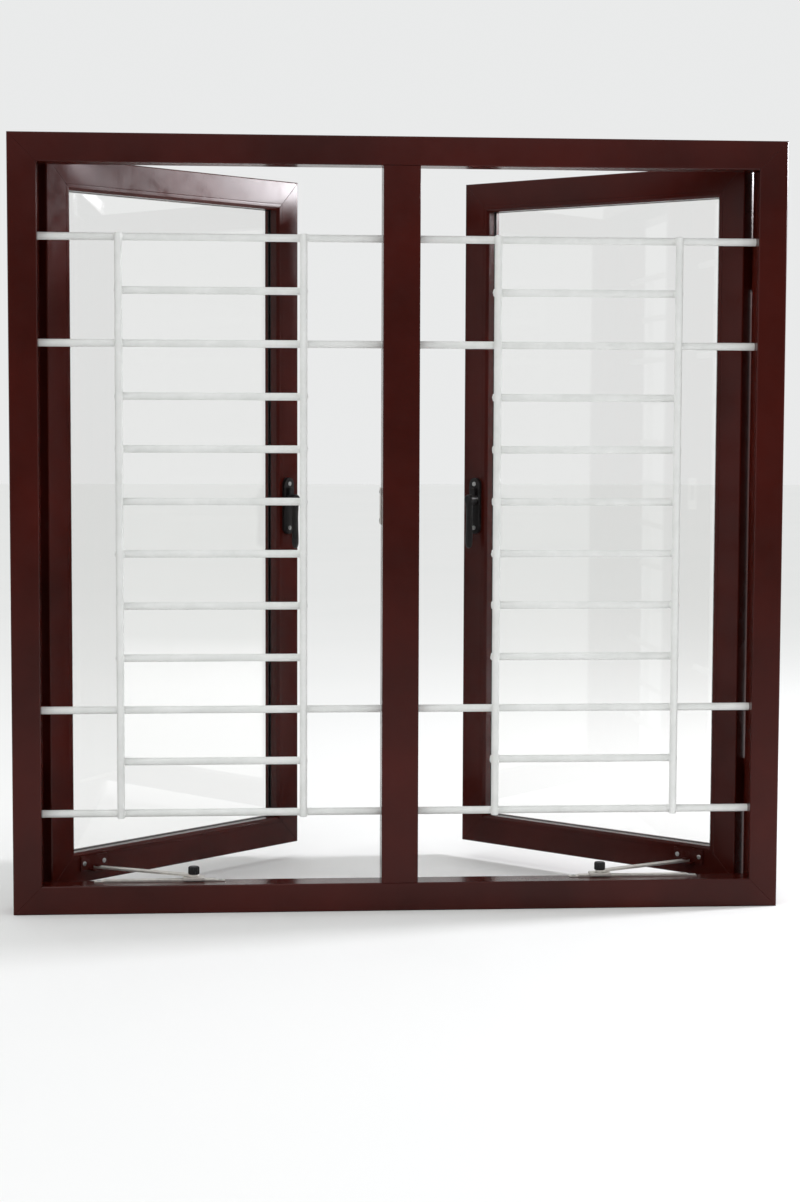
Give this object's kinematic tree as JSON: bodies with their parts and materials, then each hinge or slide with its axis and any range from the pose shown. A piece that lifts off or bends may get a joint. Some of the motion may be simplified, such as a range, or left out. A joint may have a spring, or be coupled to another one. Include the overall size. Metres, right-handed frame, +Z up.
{
  "type": "casement window",
  "caption": "Outward-opening double casement window with mitred brown sections, mullion, clear panes, lever handles, sill stays and a white bar grille.",
  "frame": {"origin": "middle of the sill's underside, half way through the frame's depth", "axes": "+X to the right seen from the room, +Y towards the outside, +Z up"},
  "size_m": [1.22, 0.4787, 1.22],
  "materials": {
    "black_handle": "satin black coated die casting",
    "black_plastic": "black moulded nylon",
    "bright_steel": "brushed stainless steel",
    "brown_coat": "gloss mahogany-brown powder coat on extruded aluminium",
    "brown_hinge": "brown powder coat on steel",
    "glass": "clear float glass",
    "grille_paint": "semi-gloss warm white enamel on steel bar",
    "mill_aluminium": "mill finish aluminium",
    "rubber": "matte extruded EPDM",
    "zinc_steel": "zinc plated steel"
  },
  "bodies": {
    "frame": {"drain_caps": "black_plastic", "frame_corner_cleats": "mill_aluminium", "frame_head": "brown_coat", "frame_jamb_left": "brown_coat", "frame_jamb_right": "brown_coat", "frame_mullion": "brown_coat", "frame_sill": "brown_coat", "grille_long_bars": "grille_paint", "grille_short_bars": "grille_paint", "grille_uprights": "grille_paint", "hinge_frame_leaves": "brown_hinge", "hinge_frame_screws": "zinc_steel", "hinge_pins": "zinc_steel", "keep_and_rail_screws": "zinc_steel", "keeps": "bright_steel", "mullion_screws": "zinc_steel", "mullion_spigots": "mill_aluminium", "seal_left": "rubber", "seal_right": "rubber", "stay_rails": "bright_steel"},
    "sash_left": {"handle_left_base": "black_handle", "handle_left_screws": "zinc_steel", "sash_left_bottom_rail": "brown_coat", "sash_left_corner_cleats": "mill_aluminium", "sash_left_free_stile": "brown_coat", "sash_left_glass": "glass", "sash_left_glazing_beads": "brown_coat", "sash_left_glazing_gaskets": "rubber", "sash_left_hinge_leaves": "brown_hinge", "sash_left_hinge_screws": "zinc_steel", "sash_left_hinge_stile": "brown_coat", "sash_left_setting_blocks": "rubber", "sash_left_top_rail": "brown_coat", "stay_left_bracket": "brown_hinge", "stay_left_bracket_screws": "zinc_steel"},
    "lever_left": {"handle_left_lever": "black_handle", "handle_left_spindle": "zinc_steel"},
    "arm_left": {"stay_left_arm": "bright_steel"},
    "slider_left": {"stay_left_slider": "bright_steel"},
    "knob_left": {"stay_left_knob": "black_plastic"},
    "sash_right": {"handle_right_base": "black_handle", "handle_right_screws": "zinc_steel", "sash_right_bottom_rail": "brown_coat", "sash_right_corner_cleats": "mill_aluminium", "sash_right_free_stile": "brown_coat", "sash_right_glass": "glass", "sash_right_glazing_beads": "brown_coat", "sash_right_glazing_gaskets": "rubber", "sash_right_hinge_leaves": "brown_hinge", "sash_right_hinge_screws": "zinc_steel", "sash_right_hinge_stile": "brown_coat", "sash_right_setting_blocks": "rubber", "sash_right_top_rail": "brown_coat", "stay_right_bracket": "brown_hinge", "stay_right_bracket_screws": "zinc_steel"},
    "lever_right": {"handle_right_lever": "black_handle", "handle_right_spindle": "zinc_steel"},
    "arm_right": {"stay_right_arm": "bright_steel"},
    "slider_right": {"stay_right_slider": "bright_steel"},
    "knob_right": {"stay_right_knob": "black_plastic"}
  },
  "joints": [
    {"name": "sash_left_swing", "type": "hinge", "parent": "frame", "child": "sash_left", "pos_m": [-0.583, 0.046, 0.61], "axis": [0, 0, 1], "range_deg": [-44, 26]},
    {"name": "lever_left_turn", "type": "hinge", "parent": "sash_left", "child": "lever_left", "pos_m": [-0.1617, 0.38709, 0.64], "axis": [-0.6947, 0.7193, 0], "range_deg": [0, 90]},
    {"name": "arm_left_turn", "type": "hinge", "parent": "sash_left", "child": "arm_left", "pos_m": [-0.48353, 0.07255, 0.054], "axis": [0, 0, 1], "range_deg": [-43, 72]},
    {"name": "slider_left_turn", "type": "hinge", "parent": "arm_left", "child": "slider_left", "pos_m": [-0.32715, -0.006, 0.054], "axis": [0, 0, 1], "range_deg": [-27, 16.5]},
    {"name": "knob_left_turn", "type": "hinge", "parent": "slider_left", "child": "knob_left", "pos_m": [-0.32715, -0.006, 0.062], "axis": [0, 0, 1], "range_deg": [0, 180]},
    {"name": "sash_right_swing", "type": "hinge", "parent": "frame", "child": "sash_right", "pos_m": [0.583, 0.046, 0.61], "axis": [0, 0, -1], "range_deg": [-44, 26]},
    {"name": "lever_right_turn", "type": "hinge", "parent": "sash_right", "child": "lever_right", "pos_m": [0.1617, 0.38709, 0.64], "axis": [-0.6947, -0.7193, 0], "range_deg": [0, 90]},
    {"name": "arm_right_turn", "type": "hinge", "parent": "sash_right", "child": "arm_right", "pos_m": [0.48353, 0.07255, 0.054], "axis": [0, 0, -1], "range_deg": [-43, 72]},
    {"name": "slider_right_turn", "type": "hinge", "parent": "arm_right", "child": "slider_right", "pos_m": [0.32715, -0.006, 0.054], "axis": [0, 0, -1], "range_deg": [-27, 16.5]},
    {"name": "knob_right_turn", "type": "hinge", "parent": "slider_right", "child": "knob_right", "pos_m": [0.32715, -0.006, 0.062], "axis": [0, 0, 1], "range_deg": [0, 180]}
  ],
  "couplings": [
    {"joint": "arm_left_turn", "follows": "sash_left_swing", "ratio": -1.6},
    {"joint": "slider_left_turn", "follows": "sash_left_swing", "ratio": 0.6},
    {"joint": "arm_right_turn", "follows": "sash_right_swing", "ratio": -1.6},
    {"joint": "slider_right_turn", "follows": "sash_right_swing", "ratio": 0.6}
  ]
}
